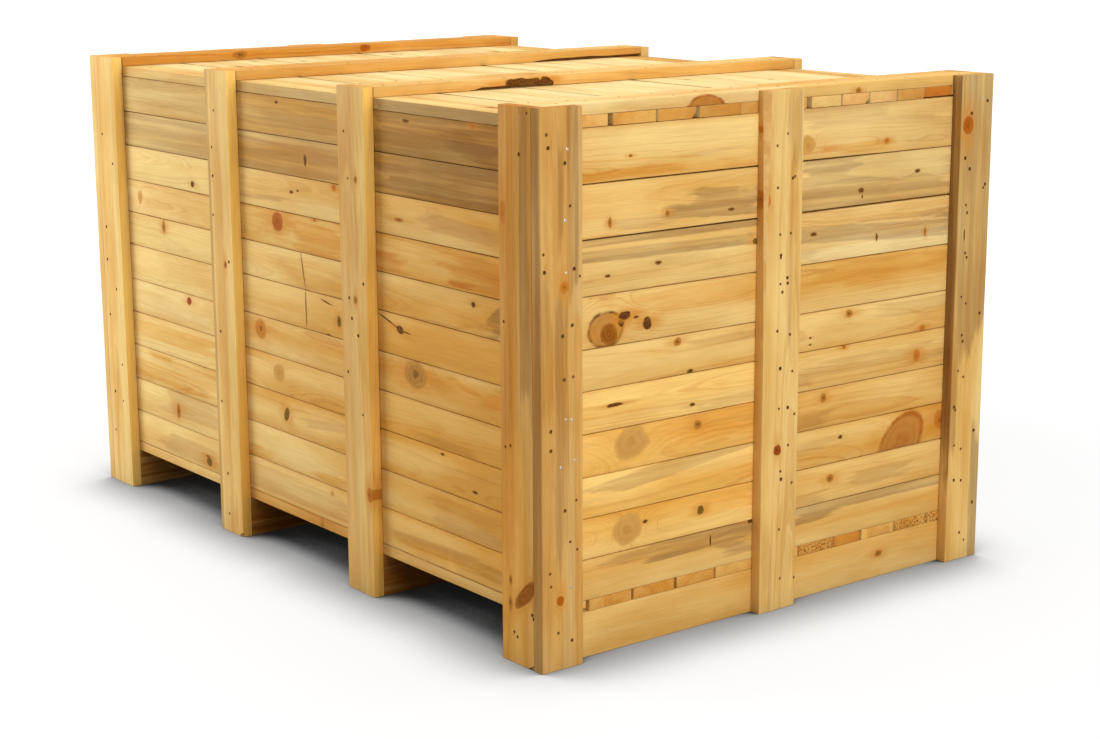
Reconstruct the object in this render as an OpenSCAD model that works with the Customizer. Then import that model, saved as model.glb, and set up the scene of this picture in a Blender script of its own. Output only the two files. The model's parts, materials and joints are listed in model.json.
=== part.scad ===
// Closed wooden crate for heavy goods, nailed up from sawn boards on four cross skids.
// Each skid carries a ring of two side posts and a lid batten, and three more posts
// close each end. The lid, which is its boards and battens, lifts out between the posts.
// X runs along the crate with its front end at +X, Y runs across, and Z is up from the ground.

/* [Body] */
// Length over the outer faces of the two end walls
body_len = 1764; // [1200:1:2600]
// Width over the outer faces of the two side walls
body_w = 1170; // [800:1:1800]
// Height of the walls from the floor to the lid
wall_h = 909; // [400:1:1500]
// Number of skids, each with its two side posts and its lid batten
frame_count = 4; // [3:1:5]

/* [Boards] */
// Thickness of the side and end wall boards
wall_t = 23; // [15:0.5:40]
// Thickness of the floor boards
floor_t = 23; // [15:0.5:40]
// Thickness of the lid boards
lid_t = 23; // [15:0.5:40]
// Open seam between two wall boards
wall_seam = 1; // [0.5:0.5:4]
// Bevel left by the saw on every long edge
arris = 1.5; // [0.5:0.5:4]

/* [Frames] */
// Width of the posts
post_w = 100; // [60:1:160]
// Thickness of the posts
post_t = 25; // [15:0.5:45]
// Width of the lid battens
batten_w = 100; // [60:1:160]
// Thickness of the lid battens
batten_t = 22; // [12:0.5:45]
// Width of a skid, measured along the crate
skid_w = 100; // [60:1:160]
// Height of a skid
skid_h = 92; // [60:1:160]

/* [Lid fit] */
// Clearance on each side of the lid between the posts
lid_clear = 1; // [0.5:0.5:5]
// Gap that stays under the lid boards where they sit on the walls
lid_seat = 0.3; // [0.1:0.1:1]
// How much thinner the planed-down lid boards are than the others
lid_thin = 2.5; // [0.5:0.5:6]

/* [Wane] */
// Radius of the log that the boards with a bark edge were sawn from
log_r = 160; // [120:1:300]
// Depth of the bark edge across its corner at the deep end
wane_depth = 9; // [3:0.5:12]
// How far the log swells past the corner at the other end, which ends the bark edge early
wane_fade = 8; // [2:0.5:20]

/* [Hidden] */
// Widths of the wall boards as they were picked, from the top down. They share out the wall.
side_rows = [84, 82, 82, 80, 80, 86, 82, 83, 86, 82, 82];
end_rows = [105, 104, 106, 101, 80, 83, 84, 81, 81, 82];
// Lid and floor boards from the left side to the right: picked width, and the gap after it
lid_rows = [[76, 1], [78, 12], [105, 4], [97, 8], [106, 1], [95, 2], [81, 14],
            [83, 3], [77, 3], [78, 3], [78, 1], [82, 3], [76, 0]];
floor_rows = [[102, 8], [106, 5], [106, 6], [101, 3], [105, 2], [124, 2],
              [103, 1], [77, 5], [100, 3], [101, 2], [108, 0]];
// Lid boards that are thinner, and those with a bark edge turned down at the front end
thin_lid_boards = [12, 13];
waney_lid_boards = [4, 9];
// Floor boards with a bark edge turned down at the rear end
waney_floor_boards = [3, 8];

floor_z = skid_h;
wall_z = floor_z + floor_t;
wall_top = wall_z + wall_h;
lid_z = wall_top + lid_seat;
lid_top = lid_z + lid_t;
post_h = lid_top + batten_t;
lid_len = body_len - 2 * lid_clear;
lid_w = body_w - 2 * lid_clear;
outer_w = body_w + 2 * post_t;
end_board_len = body_w - 2 * wall_t;
no_wane = [0, 0];
curve_steps = 96;

// Ends of the crate and sides of a post row
front = 1;
rear = -1;
left = -1;
right = 1;

function total(list, count) = count == 0 ? 0 : list[count - 1] + total(list, count - 1);
function firsts(rows) = [for (row = rows) row[0]];
function seconds(rows) = [for (row = rows) row[1]];
function reversed(list) = [for (i = [len(list) - 1:-1:0]) list[i]];

// Middle of ring frame i along the crate, for a member of the given width.
// The first and last stand flush with the end walls, the others share the length between.
function frame_x(i, member_w) =
    (body_len - member_w) * (1 / 2 - (i - 1) / (frame_count - 1));

// Height of a wall board, and the height of its underside, counted from the top row
function row_h(rows, i) =
    (wall_h - wall_seam * (len(rows) - 1)) * rows[i - 1] / total(rows, len(rows));
function row_z(rows, i) =
    wall_top - (i - 1) * wall_seam - total([for (k = [1:i]) row_h(rows, k)], i);

// Width of a lid or floor board over the given span, and the place of its left edge
function strip_w(rows, span, i) =
    (span - total(seconds(rows), len(rows) - 1)) * rows[i - 1][0]
        / total(firsts(rows), len(rows));
function strip_y(rows, span, i) =
    -span / 2 + (i == 1 ? 0 :
        total([for (k = [1:i - 1]) strip_w(rows, span, k) + rows[k - 1][1]], i - 1));

function listed(list, i) = len(search(i, list)) > 0;
function pine(i) = ["burlywood", "wheat", "tan", "navajowhite", "moccasin"][i % 5];

// Outline of a sawn board across its length, with all four edges eased
function sawn_outline(w, t) = [
    [-w / 2 + arris, -t / 2], [w / 2 - arris, -t / 2],
    [w / 2, -t / 2 + arris], [w / 2, t / 2 - arris],
    [w / 2 - arris, t / 2], [-w / 2 + arris, t / 2],
    [-w / 2, t / 2 - arris], [-w / 2, -t / 2 + arris]
];

// The log's own round surface, leaning through the corner that [x, y] of wane points at.
// It cuts deepest at z = 0 and leaves the board before the other end.
module log_round(w, t, length, wane) {
    lean = log_r / sqrt(2);
    translate([wane.x * (w / 2 - lean), wane.y * (t / 2 - lean), 0])
        cylinder(h = length, r1 = log_r - wane_depth, r2 = log_r + wane_fade,
                 $fn = curve_steps);
}

// A sawn board standing on z = 0, its width along X and its thickness along Y.
// One corner may keep the rounded bark edge of the log.
module board(w, t, length, wane = no_wane) {
    if (wane == no_wane)
        linear_extrude(length) polygon(sawn_outline(w, t));
    else
        intersection() {
            linear_extrude(length) polygon(sawn_outline(w, t));
            log_round(w, t, length, wane);
        }
}

// A board along the crate, lying flat, from its rear end at x
module flat_along(x, y, z, w, t, length, wane = no_wane) {
    translate([x, y + w / 2, z + t / 2]) rotate([90, 0, 90]) board(w, t, length, wane);
}

// A board along the crate, on its edge as in a side wall
module edge_along(y, z, w, t, length) {
    translate([-length / 2, y, z + w / 2]) rotate([0, 90, 0]) board(w, t, length);
}

// A board across the crate, on its edge as in an end wall
module edge_across(x, z, w, t, length) {
    translate([x, -length / 2, z + w / 2]) rotate([-90, -90, 0]) board(w, t, length);
}

// A board or beam across the crate, lying flat
module flat_across(x, z, w, t, length) {
    translate([x, -length / 2, z + t / 2]) rotate([-90, 0, 0]) board(w, t, length);
}

module skid(i) {
    color(pine(i)) flat_across(frame_x(i, skid_w), 0, skid_w, skid_h, body_w);
}

module floor_boards() {
    for (i = [1:len(floor_rows)])
        color(pine(i + 1))
            flat_along(-body_len / 2, strip_y(floor_rows, body_w, i), floor_z,
                       strip_w(floor_rows, body_w, i), floor_t, body_len,
                       listed(waney_floor_boards, i) ? [1, -1] : no_wane);
}

module side_post(i, side) {
    color(pine(i + 2))
        translate([frame_x(i, post_w), side * (body_w + post_t) / 2, 0])
            board(post_w, post_t, post_h);
}

// Posts of an end stand over the ends of its boards, and the outer two are flush with
// the side posts. A waney post has its bark edge at the top.
module end_post(end, place, waney = false) {
    color(pine(place + 3))
        translate([end * (body_len + post_t) / 2, place * (outer_w - post_w) / 2, 0])
            if (waney)
                translate([0, 0, post_h]) mirror([0, 0, 1]) rotate(90)
                    board(post_w, post_t, post_h, [-1, -end]);
            else
                rotate(90) board(post_w, post_t, post_h);
}

module side_board(side, rows, i) {
    color(pine(i))
        edge_along(side * (body_w - wall_t) / 2, row_z(rows, i), row_h(rows, i),
                   wall_t, body_len);
}

module end_board(end, rows, i) {
    color(pine(i + 1))
        edge_across(end * (body_len - wall_t) / 2, row_z(rows, i), row_h(rows, i),
                    wall_t, end_board_len);
}

module right_boards() {
    for (i = [1:len(side_rows)]) side_board(right, reversed(side_rows), i);
}

module rear_boards() {
    for (i = [1:len(end_rows)]) end_board(rear, reversed(end_rows), i);
}

// Lid boards hang by their top faces from the battens, so a thin one clears the wall
module lid_board(i) {
    t = lid_t - (listed(thin_lid_boards, i) ? lid_thin : 0);
    y = strip_y(lid_rows, lid_w, i);
    w = strip_w(lid_rows, lid_w, i);
    color(pine(i + 3))
        if (listed(waney_lid_boards, i))
            mirror([1, 0, 0]) flat_along(-lid_len / 2, y, lid_top - t, w, t, lid_len, [1, -1]);
        else
            flat_along(-lid_len / 2, y, lid_top - t, w, t, lid_len);
}

module lid_batten(i) {
    inset = i == 1 ? -lid_clear : i == frame_count ? lid_clear : 0;
    color(pine(i + 4))
        flat_across(frame_x(i, batten_w) + inset, lid_top, batten_w, batten_t, lid_w);
}

for (i = [1:frame_count]) {
    skid(i);
    side_post(i, left);
    side_post(i, right);
    lid_batten(i);
}
for (i = [1:len(side_rows)])
    side_board(left, side_rows, i);
for (i = [1:len(end_rows)])
    end_board(front, end_rows, i);
for (i = [1:len(lid_rows)])
    lid_board(i);
floor_boards();
right_boards();
rear_boards();
end_post(front, left);  // front_post_left
end_post(front, 0, waney = true);  // front_post_centre
end_post(front, right);  // front_post_right
end_post(rear, left);  // rear_post_left
end_post(rear, 0);  // rear_post_centre
end_post(rear, right, waney = true);  // rear_post_right
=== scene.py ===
# %% [markdown]
# # A closed wooden crate
#
# The real thing is a box of sawn pine boards. Four skids carry the floor, a ring of two posts and
# a lid batten stands at each skid, and three posts close each end. Every board is a straight stick
# of wood, so its shape is quickly made. What makes it look like wood is the finish: growth rings
# that run through the board, knots that the rings bend around, grey stain, saw marks and nails.
#
# This lesson loads the construction model, rebuilds each board as a slightly uneven piece, drives
# the nails, and paints each board with a material that is cut out of a solid log.

# %% Load the construction model
import json
import math
import random

import bmesh
import bpy
from mathutils import Matrix, Vector


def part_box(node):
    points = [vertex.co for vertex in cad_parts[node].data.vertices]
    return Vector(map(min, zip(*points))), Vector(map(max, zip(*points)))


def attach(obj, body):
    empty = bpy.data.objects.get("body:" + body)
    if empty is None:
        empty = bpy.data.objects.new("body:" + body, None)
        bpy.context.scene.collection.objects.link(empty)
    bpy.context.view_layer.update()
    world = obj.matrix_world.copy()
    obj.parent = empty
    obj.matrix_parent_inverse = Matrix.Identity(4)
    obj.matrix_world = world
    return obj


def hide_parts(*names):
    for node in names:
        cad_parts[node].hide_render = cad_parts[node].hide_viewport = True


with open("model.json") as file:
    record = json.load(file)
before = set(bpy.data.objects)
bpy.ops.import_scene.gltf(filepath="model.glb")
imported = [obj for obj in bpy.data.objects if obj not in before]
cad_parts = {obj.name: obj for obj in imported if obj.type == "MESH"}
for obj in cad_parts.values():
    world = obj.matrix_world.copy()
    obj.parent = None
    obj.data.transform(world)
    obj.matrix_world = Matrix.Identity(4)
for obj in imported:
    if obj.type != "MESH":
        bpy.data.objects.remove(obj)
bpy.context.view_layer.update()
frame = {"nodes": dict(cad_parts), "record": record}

MM = 0.001

# %% [markdown]
# ## Camera
#
# The camera comes first, so that each piece can be judged as it is made. Its place was worked out
# from the corners of the crate in the reference picture. A lens of 69 mm on a 36 mm wide sensor,
# about five metres away and a little above the lid, gives the same perspective.

# %% Place the camera
EYE = Vector((3.900, -2.894, 1.426))
LENS_MM, SENSOR_MM = 68.9, 36.0
TURN, DOWN, ROLL = math.radians(52.38), math.radians(12.48), math.radians(-0.28)

bpy.ops.object.camera_add()
camera = bpy.context.object
camera.name = "camera"
camera.matrix_world = (Matrix.Translation(EYE) @ Matrix.Rotation(TURN, 4, "Z")
                       @ Matrix.Rotation(math.pi / 2 - DOWN, 4, "X") @ Matrix.Rotation(ROLL, 4, "Z"))
camera.data.lens = LENS_MM
camera.data.sensor_width = SENSOR_MM
bpy.context.scene.camera = camera
print("camera at", tuple(camera.location))

# %% [markdown]
# ## Which board lies where
#
# Each board has a direction along its grain, one across its face, and one that points out of the
# face that is seen. Once these three are known, one helper can shape any board and one material
# can lay its grain along any board. Each of these ways lies along X, Y or Z, so the sum of its
# three numbers is its sign. Most nodes of the construction model hold one board. The hidden walls
# and the floor hold many in one node, so a copy of such a node is taken apart.

# %% What is known about a board
X, Y, Z = Vector((1, 0, 0)), Vector((0, 1, 0)), Vector((0, 0, 1))
LAYS = {
    "left_wall": (X, Z, -Y), "right_wall": (-X, Z, Y), "front_wall": (Y, Z, X), "rear_wall": (-Y, Z, -X),
    "left_post": (Z, -X, -Y), "right_post": (Z, X, Y), "front_post": (Z, -Y, X), "rear_post": (Z, Y, -X),
    "flat_long": (X, Y, Z), "flat_cross": (Y, -X, Z),
}
NODE_LAYS = {
    "left_board": "left_wall", "right_boards": "right_wall", "front_board": "front_wall",
    "rear_boards": "rear_wall", "left_post": "left_post", "right_post": "right_post",
    "front_post": "front_post", "rear_post": "rear_post", "lid_board": "flat_long",
    "floor_boards": "flat_long", "lid_batten": "flat_cross", "skid": "flat_cross",
}
NODE_SLOTS = {part["node"]: part["material_slot"] for part in frame["record"]["subparts"]}
NODE_BODIES = {node: body for body, nodes in frame["record"]["behaviour"]["bodies"].items()
               for node in nodes}


class Board:
    """One board: which node it stands for, where it is, and how its grain lies."""

    def __init__(self, name, node, low, high):
        self.name, self.node, self.low, self.high = name, node, low, high
        self.slot, self.body = NODE_SLOTS[node], NODE_BODIES[node]
        self.lay = next(NODE_LAYS[start] for start in NODE_LAYS if node.startswith(start))
        self.ways = self.along, self.across, self.out = LAYS[self.lay]
        self.centre = (low + high) / 2
        self.length, self.width, self.thick = (abs((high - low).dot(way)) for way in self.ways)
        self.nailed_on = self.lay.endswith("post") or node.startswith("lid_batten")
        # A place on the face is given by these two ways, on walls and posts the upright one last.
        first, second = (Vector(map(abs, way)) for way in (self.along, self.across))
        self.seen = (second, first) if self.lay.endswith("post") else (first, second)


# %% List the boards
def deselect():
    if bpy.context.object and bpy.context.object.mode != "OBJECT":
        bpy.ops.object.mode_set(mode="OBJECT")
    bpy.ops.object.select_all(action="DESELECT")


def only(ob):
    deselect()
    ob.select_set(True)
    bpy.context.view_layer.objects.active = ob


def corners(ob):
    points = [ob.matrix_world @ v.co for v in ob.data.vertices]
    return [Vector(end(p[k] for p in points) for k in range(3)) for end in (min, max)]


JOIN_WITHIN = 0.01 * MM


def boards_in(node):
    """The corners of each loose board in a node that holds many, from the top or the left side."""
    only(frame["nodes"][node])
    bpy.ops.object.duplicate()
    bpy.context.object.parent = None
    bpy.ops.object.mode_set(mode="EDIT")
    bpy.ops.mesh.select_all(action="SELECT")
    bpy.ops.mesh.remove_doubles(threshold=JOIN_WITHIN)
    bpy.ops.mesh.separate(type="LOOSE")
    bpy.ops.object.mode_set(mode="OBJECT")
    loose = list(bpy.context.selected_objects)
    boxes = [corners(ob) for ob in loose]
    for ob in loose:
        bpy.data.objects.remove(ob)
    return sorted(boxes, key=lambda box: (-round(box[0].z, 3), box[0].y))


def list_boards():
    boards = []
    for node in sorted(frame["nodes"], key=lambda n: (n.rstrip("0123456789"), len(n), n)):
        many = node.endswith("boards")
        boxes = boards_in(node) if many else [[Vector(c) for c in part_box(node)]]
        for i, (low, high) in enumerate(boxes, 1):
            boards.append(Board(f"{node[:-1]}_{i}" if many else node, node, low, high))
    return boards


boards = list_boards()
print(len(boards), "boards in", len(frame["nodes"]), "nodes")

# %% [markdown]
# ## Shaping one board
#
# A sawn board is never a perfect block. Its edges are rubbed round, and its faces wander by a
# millimetre where the saw wavered. A cube is added at the board's size and place, all its edges
# are bevelled, the long edges are cut into short lengths, and a Displace modifier with a cloud
# texture draws the surface in a little here and there. It only draws in, so the board never
# grows past its place in the construction.

# %% Helpers for meshes
def add(primitive, **settings):
    """Adds a primitive with nothing else selected, and puts its place and size into its mesh."""
    deselect()
    primitive(**settings)
    bpy.ops.object.transform_apply()
    return bpy.context.object


def select_edges(ob, wanted):
    """Selects just the edges for which wanted(start, end) is true, in edit mode."""
    bpy.ops.mesh.select_all(action="DESELECT")
    mesh = bmesh.from_edit_mesh(ob.data)
    for edge in mesh.edges:
        if wanted(edge.verts[0].co, edge.verts[1].co):
            edge.select_set(True)
    bmesh.update_edit_mesh(ob.data)


def wrinkle(ob, texture, depth, **settings):
    """Moves the surface in and out by a cloud texture."""
    displace = ob.modifiers.new("wrinkle", "DISPLACE")
    displace.texture = texture
    displace.texture_coords = "LOCAL"
    displace.strength = depth
    for name, value in settings.items():
        setattr(displace, name, value)
    only(ob)
    bpy.ops.object.modifier_apply(modifier=displace.name)
    return ob


# %% Make the sawn boards
EDGE_ROUND, SHORT_LENGTH, SAW_WANDER = 0.8 * MM, 55 * MM, 1.0 * MM
saw_texture = bpy.data.textures.new("saw_wander", "CLOUDS")
saw_texture.noise_scale = 90 * MM
saw_texture.noise_depth = 3


def saw_board(board):
    ob = add(bpy.ops.mesh.primitive_cube_add, size=1.0, location=board.centre,
             scale=board.high - board.low)
    ob.name = ob.data.name = "sawn_" + board.name
    bpy.ops.object.mode_set(mode="EDIT")
    bpy.ops.mesh.select_mode(type="EDGE")
    bpy.ops.mesh.select_all(action="SELECT")
    bpy.ops.mesh.bevel(offset=EDGE_ROUND, segments=2, affect="EDGES")
    select_edges(ob, lambda start, end: abs((end - start).dot(board.along)) > board.length / 2)
    bpy.ops.mesh.subdivide(number_cuts=int(board.length / SHORT_LENGTH))
    bpy.ops.object.mode_set(mode="OBJECT")
    return wrinkle(ob, saw_texture, SAW_WANDER, mid_level=1.0)


for board in boards:
    board.piece = saw_board(board)
print("sawn boards:", len(boards), "with", sum(len(b.piece.data.polygons) for b in boards), "faces")

# %% [markdown]
# ## Bark edges
#
# Some boards were sawn so near the outside of the log that one corner still has the round, uneven
# surface that was under the bark. Carpenters call it wane. It follows the log, so here a long
# cone with the log's own radius is laid along the board, leaning through that corner, and only
# what lies inside both board and log is kept. The cone is a little thinner at one end, which
# makes the wane deep there and lets it fade out along the board, as on the real crate.
#
# A cutter brings its own material along, so the bark side, the nail holes and the broken corners
# can be painted apart from the sawn faces.

# %% Round the waney corners
LOG_RADIUS, WANE_DEPTH, WANE_FADE, CUT_OVER = 160 * MM, 9 * MM, 8 * MM, 4 * MM
# Each waney board, with the side of the corner across the board, its side outwards, and the end
# along the grain where the wane is deep.
WANEY = {"front_post_centre": (1, 1, 1), "rear_post_right": (1, 1, 1), "lid_board_4": (1, -1, 1),
         "lid_board_9": (1, -1, 1), "floor_board_3": (1, -1, -1), "floor_board_8": (1, -1, -1)}
sawn_wood, bark_side, crushed_wood, torn_wood, dark_nail, bright_nail = map(bpy.data.materials.new, (
    "sawn_wood", "bark_side", "crushed_wood", "torn_wood", "dark_nail", "bright_nail"))


def log_surface(board, across_side, out_side, deep_end):
    lean = LOG_RADIUS / math.sqrt(2)
    centre = (board.centre + board.across * across_side * (board.width / 2 - lean)
              + board.out * out_side * (board.thick / 2 - lean))
    return add(bpy.ops.mesh.primitive_cone_add, vertices=96, radius1=LOG_RADIUS - WANE_DEPTH,
               radius2=LOG_RADIUS + WANE_FADE, depth=board.length + CUT_OVER, location=centre,
               rotation=(board.along * -deep_end).to_track_quat("Z", "X").to_euler())


def cut(ob, cutter, material, operation="DIFFERENCE", overlaps=False):
    """Cuts a board. The new faces keep the cutter's material. A cutter of many pieces may overlap
    itself, which has to be said."""
    cutter.data.materials.append(material)
    boolean = ob.modifiers.new("cut", "BOOLEAN")
    boolean.object = cutter
    boolean.operation = operation
    boolean.solver = "EXACT"
    boolean.use_self = overlaps
    boolean.material_mode = "TRANSFER"
    only(ob)
    bpy.ops.object.modifier_apply(modifier=boolean.name)
    bpy.data.objects.remove(cutter)


by_name = {board.name: board for board in boards}
for board in boards:
    board.piece.data.materials.append(sawn_wood)
for name, corner in WANEY.items():
    cut(by_name[name].piece, log_surface(by_name[name], *corner), bark_side, "INTERSECT")
print("bark edges:", len(WANEY))

# %% [markdown]
# ## Broken corners
#
# Boards lose splinters when they are dropped or driven together. Each chip is a ball that is
# roughened by a Displace modifier, laid over a corner or an edge and subtracted. From here on,
# places and sizes on the crate are listed in millimetres.

# %% Chip the corners
chip_texture = bpy.data.textures.new("torn_fibres", "CLOUDS")
chip_texture.noise_scale = 12 * MM
# For each chip, the middle of the ball and how far it reaches along X, Y and Z.
CHIPS = {
    "front_board_10": [((884, -72, 199), (6, 22, 5))],
    "front_board_2": [((884, -50, 814.8), (12, 1100, 3.4))],
    "front_board_1": [((884, -100, 919), (12, 640, 3))],
    "left_post_1": [((882, -612, -2), (18, 7, 12))],
    "left_post_3": [((-227, -612, -1), (14, 8, 10))],
    "floor_board_1": [((884, -492, 92), (14, 20, 9))],
    "lid_board_10": [((884, 236, 1040), (10, 9, 16))],
    "skid_1": [((884, 586, 1), (10, 30, 8))],
    "lid_batten_2": [((327, -235, 1045.5), (14, 115, 9)), ((327, -192, 1048), (12, 48, 17)),
                     ((327, -140, 1050), (10, 12, 14))],
    "lid_batten_3": [((-227, 470, 1045.5), (14, 240, 9))],
    "left_board_11": [((500, -587, 115.5), (130, 3, 3))],
    "right_board_9": [((100, 587, 196), (60, 4, 4))],
    "rear_post_left": [((-909, -512, 0), (10, 12, 16))],
}
ROTTEN = ("lid_batten_2", "lid_batten_3")


def chip(place, reach):
    ball = add(bpy.ops.mesh.primitive_ico_sphere_add, subdivisions=3, radius=1.0,
               location=Vector(place) * MM, scale=Vector(reach) * MM)
    return wrinkle(ball, chip_texture, min(reach) * MM)


for name, chips in CHIPS.items():
    for place, reach in chips:
        cut(by_name[name].piece, chip(place, reach), crushed_wood if name in ROTTEN else torn_wood)
print("chips:", sum(len(chips) for chips in CHIPS.values()))

# %% [markdown]
# ## Nails
#
# A nail gun drives most heads a little under the surface, where they leave a small dark dimple.
# A few stay flush and shine. One head and one dimple cutter are modelled, then copied to each
# place. Each copy is set on the wood under it, because the sawn face isn't quite flat. The near
# corner's nails lie where the reference shows them, the others go in pairs, one pair for each
# board that the post or batten holds.

# %% Model the head and the dimple
HEAD_RADIUS, HEAD_DEPTH, DIMPLE_RADIUS, SUNK = 3.4 * MM, 2.0 * MM, 4.8 * MM, 1.6 * MM
HEAD_RIM, HEAD_RISE, HEAD_DISH_RIM, HEAD_DISH = 0.6 * MM, 0.3 * MM, 1.3 * MM, 0.2 * MM


def nail_head():
    head = add(bpy.ops.mesh.primitive_cylinder_add, vertices=12, radius=HEAD_RADIUS,
               depth=HEAD_DEPTH, location=(0.0, 0.0, -HEAD_DEPTH / 2))
    bpy.ops.object.mode_set(mode="EDIT")
    mesh = bmesh.from_edit_mesh(head.data)
    for face in mesh.faces:
        face.select_set(face.normal.z > 0.9)
    bmesh.update_edit_mesh(head.data)
    for inset, rise in ((HEAD_RIM, HEAD_RISE), (HEAD_DISH_RIM, -HEAD_DISH)):
        bpy.ops.mesh.inset(thickness=inset)
        bpy.ops.transform.translate(value=(0.0, 0.0, rise))
    bpy.ops.object.mode_set(mode="OBJECT")
    return head


def copies(original, spots, out, lift):
    """One object of copies of the original, each set on its spot and facing out. A spot's second
    value is how large that nail is."""
    turn = out.to_track_quat("Z", "X").to_matrix().to_4x4()
    made = []
    for spot, scale in spots:
        one = original.copy()
        one.data = original.data.copy()
        one.matrix_world = Matrix.Translation(spot + out * lift) @ turn @ Matrix.Scale(scale, 4)
        bpy.context.scene.collection.objects.link(one)
        made.append(one)
    only(made[0])
    for one in made:
        one.select_set(True)
    bpy.ops.object.join()
    bpy.ops.object.transform_apply()
    return bpy.context.object


head_pattern = nail_head()
dimple_pattern = add(bpy.ops.mesh.primitive_cone_add, vertices=12, radius1=HEAD_RADIUS * 1.04,
                     radius2=DIMPLE_RADIUS, depth=2 * SUNK)
print("nail head:", len(head_pattern.data.polygons), "faces")

# %% Where the reference shows nails
NEAR_NAILS = {
    "front_post_left": [
        (-593, 1021), (-589, 997), (-551, 967), (-539, 888), (-601, 804), (-599, 771), (-530, 771),
        (-517, 756), (-535, 666), (-557, 648), (-554, 565), (-533, 568), (-586, 471), (-586, 434),
        (-526, 329), (-553, 313), (-541, 250), (-524, 232), (-589, 196), (-587, 170), (-570, 75),
        (-537, 54)],
    "front_post_centre": [
        (7, 982), (-21, 960), (-18, 877), (23, 893), (29, 896), (-9, 783), (20, 783), (-6, 741),
        (-6, 736), (13, 694), (14, 683), (-6, 683), (0, 666), (-12, 588), (23, 577), (-2, 510),
        (32, 500), (-4, 427), (21, 426), (40, 410), (24, 347), (36, 266), (4, 295), (6, 278),
        (3, 172), (8, 66), (51, 60)],
    "front_post_right": [
        (593, 1012), (544, 988), (529, 894), (544, 870), (595, 833), (590, 826), (537, 793),
        (541, 776), (540, 689), (545, 679), (533, 594), (548, 578), (594, 551), (539, 509),
        (542, 495), (532, 431), (549, 415), (523, 351), (527, 344), (590, 289), (528, 264),
        (550, 253), (531, 185), (554, 181), (594, 124), (555, 61), (571, 41)],
    "left_post_1": [(870, 1058), (846, 982), (795, 665), (797, 424), (813, 430), (885, 104),
                    (877, 111), (820, 62), (830, 55)],
}
BRIGHT_NAILS = {
    "front_post_left": [(-545, 992), (-550, 862), (-548, 765), (-550, 488), (-536, 486), (-528, 407),
                        (-562, 398), (-539, 160)],
    "front_post_right": [(580, 1017)],
}
print("nails that the reference shows:", sum(map(len, (*NEAR_NAILS.values(), *BRIGHT_NAILS.values()))))

# %% Where the other nails go
SKID_NAIL, NAIL_STRAY = 45 * MM, 24 * MM
# How likely each nail of a pair is.
LIKELY_ON_SIDES, LIKELY_ELSEWHERE = 0.35, 0.85
HELD = {"left_post": "left_wall", "right_post": "right_wall", "front_post": "front_wall",
        "rear_post": "rear_wall", "flat_cross": "flat_long"}


def crossings(board):
    """The middles of the boards that a post or batten holds, along its own grain."""
    lid = board.node.startswith("lid")
    held = [b for b in boards if b.lay == HELD[board.lay] and (not lid or b.node.startswith("lid"))]
    return [b.centre.dot(board.along) for b in held] + [SKID_NAIL] * (not lid)


def paired_spots(board, chance):
    """Two nails for each board that is held, of which some are left out."""
    likely = LIKELY_ON_SIDES if board.lay in ("left_post", "right_post") else LIKELY_ELSEWHERE
    spots = []
    for middle in crossings(board):
        for side in (-1, 1):
            if chance.random() < likely:
                spots.append(board.along * (middle + chance.uniform(-NAIL_STRAY, NAIL_STRAY))
                             + board.across * (board.centre.dot(board.across)
                                               + side * board.width * chance.uniform(0.10, 0.36)))
    return spots


# %% Drive the nails
DARK_SIZES, BRIGHT_SIZE = (0.65, 1.00), 0.85


def drive(board, chance):
    """Nails for one post or batten: dark sunk heads with dimples, and bright flush heads."""
    def seen_spots(table):
        first, second = board.seen
        return [(first * a + second * b) * MM for a, b in table.get(board.name, ())]

    def on_wood(spot):
        above = spot + board.out * (board.centre.dot(board.out) + board.thick / 2 - spot.dot(board.out))
        return board.piece.closest_point_on_mesh(above)[1]

    spots = seen_spots(NEAR_NAILS) or paired_spots(board, chance)
    dark = [(on_wood(spot), chance.uniform(*DARK_SIZES)) for spot in spots]
    bright = [(on_wood(spot), BRIGHT_SIZE) for spot in seen_spots(BRIGHT_NAILS)]
    made = [("nails_", copies(head_pattern, dark, board.out, -SUNK), dark_nail)]
    cut(board.piece, copies(dimple_pattern, dark, board.out, 0.0), crushed_wood, overlaps=True)
    if bright:
        made.append(("bright_nails_", copies(head_pattern, bright, board.out, 0.0), bright_nail))
    for label, heads, steel in made:
        heads.name = heads.data.name = label + board.name
        heads.data.materials.append(steel)
        nails.append((heads, board))
    return len(dark) + len(bright)


chance = random.Random(31)
nails = []
nail_count = sum(drive(board, chance) for board in boards if board.nailed_on)
bpy.data.objects.remove(head_pattern)
bpy.data.objects.remove(dimple_pattern)
print("nails:", nail_count, "in", len(nails), "pieces")

# %% [markdown]
# ## Check and smooth
#
# A cut that goes wrong can swallow a board. So each board is measured against its place in the
# construction before the rounded edges are shaded smooth.

# %% Check the boards and smooth the rounded edges
MOST_LOST, SMOOTH_ANGLE = 20 * MM, math.radians(32)
for board in boards:
    low, high = corners(board.piece)
    lost = max((low - board.low).length, (high - board.high).length)
    assert lost < MOST_LOST, f"{board.name} no longer fills its place: {lost:.3f} m"
for piece in [board.piece for board in boards] + [heads for heads, _ in nails]:
    only(piece)
    bpy.ops.object.shade_smooth_by_angle(angle=SMOOTH_ANGLE)
print("smoothed:", len(boards) + len(nails), "pieces")

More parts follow.
